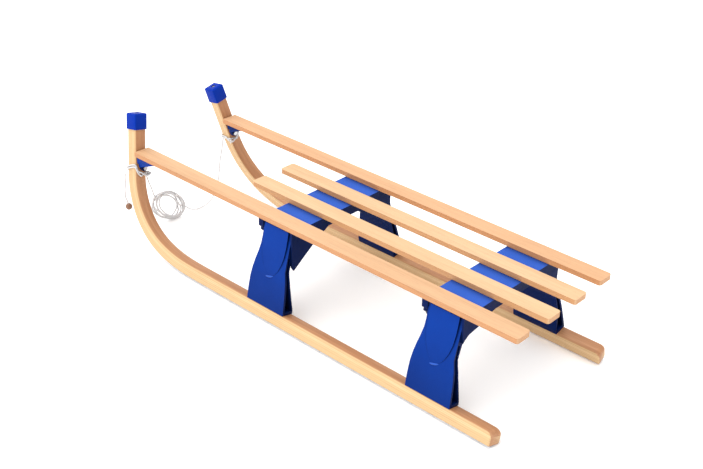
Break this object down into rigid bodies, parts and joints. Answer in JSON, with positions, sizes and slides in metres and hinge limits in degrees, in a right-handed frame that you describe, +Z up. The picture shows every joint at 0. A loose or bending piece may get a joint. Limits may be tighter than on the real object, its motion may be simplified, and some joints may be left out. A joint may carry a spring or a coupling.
{
  "type": "toboggan",
  "caption": "Folding wooden toboggan: slatted beech seat on moulded bridges, hinged legs, bent runners with upturned horns and a pulling cord.",
  "frame": {"origin": "on the floor, under the middle of the sled without its cord", "axes": "+X forward, towards the horns; +Y to the rider's left; +Z up; the sled stands on its runners"},
  "size_m": [1.1132, 0.3934, 0.3062],
  "materials": {
    "beech": "clear satin lacquer",
    "laminate": "clear satin lacquer on bent laminated wood",
    "plastic": "blue moulded plastic, fine satin",
    "steel": "zinc plated",
    "cord": "braided",
    "bead": "stained"
  },
  "bodies": {
    "seat": {"bracket_screw_left": "steel", "bracket_screw_right": "steel", "bridge_front": "plastic", "bridge_rear": "plastic", "cord_bead": "bead", "cord_hank": "cord", "cord_strand_left": "cord", "cord_strand_right": "cord", "cord_tail": "cord", "hinge_pin_front_left": "steel", "hinge_pin_front_right": "steel", "hinge_pin_rear_left": "steel", "hinge_pin_rear_right": "steel", "horn_bracket_left": "plastic", "horn_bracket_right": "plastic", "horn_pivot_bolt_left": "steel", "horn_pivot_bolt_right": "steel", "horn_pivot_nut_left": "steel", "horn_pivot_nut_right": "steel", "inner_slat_left": "beech", "inner_slat_right": "beech", "outer_slat_left": "beech", "outer_slat_right": "beech", "slat_screw_front_inner_left": "steel", "slat_screw_front_inner_right": "steel", "slat_screw_front_outer_left": "steel", "slat_screw_front_outer_right": "steel", "slat_screw_rear_inner_left": "steel", "slat_screw_rear_inner_right": "steel", "slat_screw_rear_outer_left": "steel", "slat_screw_rear_outer_right": "steel"},
    "left_unit": {"cord_windings_left": "cord", "horn_cap_left": "plastic", "horn_cap_screw_left": "steel", "leg_front_left": "plastic", "leg_rear_left": "plastic", "leg_screw_front_left_1": "steel", "leg_screw_front_left_2": "steel", "leg_screw_rear_left_1": "steel", "leg_screw_rear_left_2": "steel", "runner_left": "laminate", "runner_shoe_left": "steel", "shoe_screw_front_left": "steel", "shoe_screw_rear_left": "steel"},
    "right_unit": {"cord_windings_right": "cord", "horn_cap_right": "plastic", "horn_cap_screw_right": "steel", "leg_front_right": "plastic", "leg_rear_right": "plastic", "leg_screw_front_right_1": "steel", "leg_screw_front_right_2": "steel", "leg_screw_rear_right_1": "steel", "leg_screw_rear_right_2": "steel", "runner_right": "laminate", "runner_shoe_right": "steel", "shoe_screw_front_right": "steel", "shoe_screw_rear_right": "steel"}
  },
  "joints": [
    {"name": "left_fold", "type": "hinge", "parent": "seat", "child": "left_unit", "pos_m": [0, 0.138, 0.1852], "axis": [-1, 0, 0], "range_deg": [0, 72]},
    {"name": "right_fold", "type": "hinge", "parent": "seat", "child": "right_unit", "pos_m": [0, -0.138, 0.1852], "axis": [1, 0, 0], "range_deg": [0, 50]}
  ]
}
